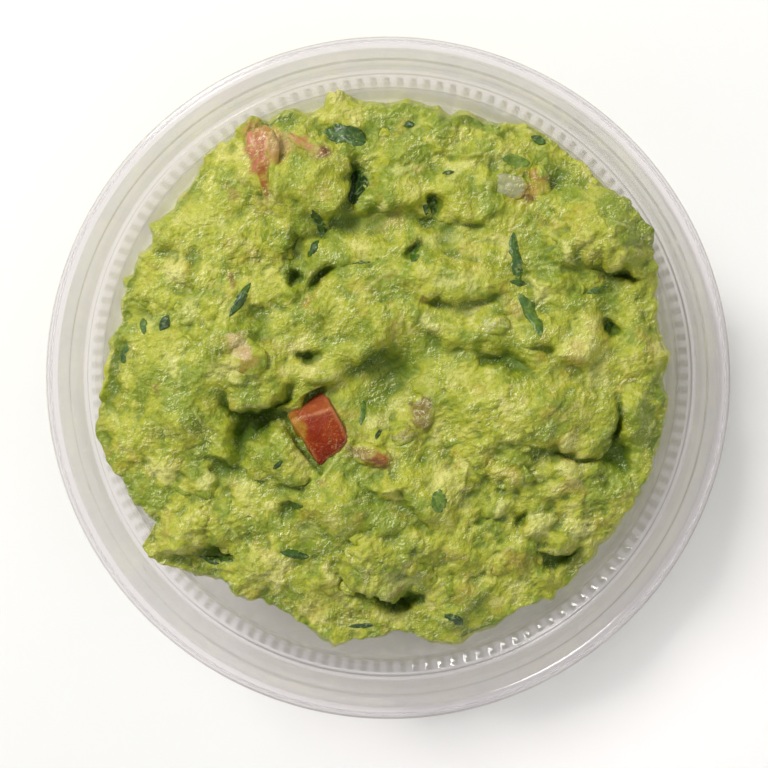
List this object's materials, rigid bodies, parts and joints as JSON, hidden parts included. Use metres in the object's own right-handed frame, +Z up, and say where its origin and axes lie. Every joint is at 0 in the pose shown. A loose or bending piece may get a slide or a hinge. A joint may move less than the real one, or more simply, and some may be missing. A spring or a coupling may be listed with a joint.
{
  "type": "guacamole in a clear plastic tub",
  "caption": "Chunky guacamole heaped in a round clear plastic tub, with diced tomato, onion and herb leaves in its spooned, uneven top.",
  "frame": {"origin": "middle of the tub's base, on the surface it stands on", "axes": "+Z up; +X to the right and +Y to the far side as the tomato cube is seen left of the middle and a little towards the viewer"},
  "size_m": [0.118, 0.118, 0.0453],
  "materials": {
    "clear_plastic": "clear, thin and smooth, with fine moulded ribs on the shoulder",
    "avocado_paste": "moist coarse yellow-green mash with small wet glints",
    "tomato": "wet cut tomato flesh and skin",
    "onion": "wet translucent chopped onion"
  },
  "bodies": {
    "root": {"tub": "clear_plastic", "guacamole": "avocado_paste", "tomato_cube": "tomato", "tomato_rose": "tomato", "tomato_skin": "tomato", "tomato_brown": "tomato", "tomato_amber": "tomato", "onion_grey": "onion", "onion_tan": "onion", "onion_clear": "onion", "onion_glossy": "onion", "onion_small": "onion"}
  },
  "joints": []
}
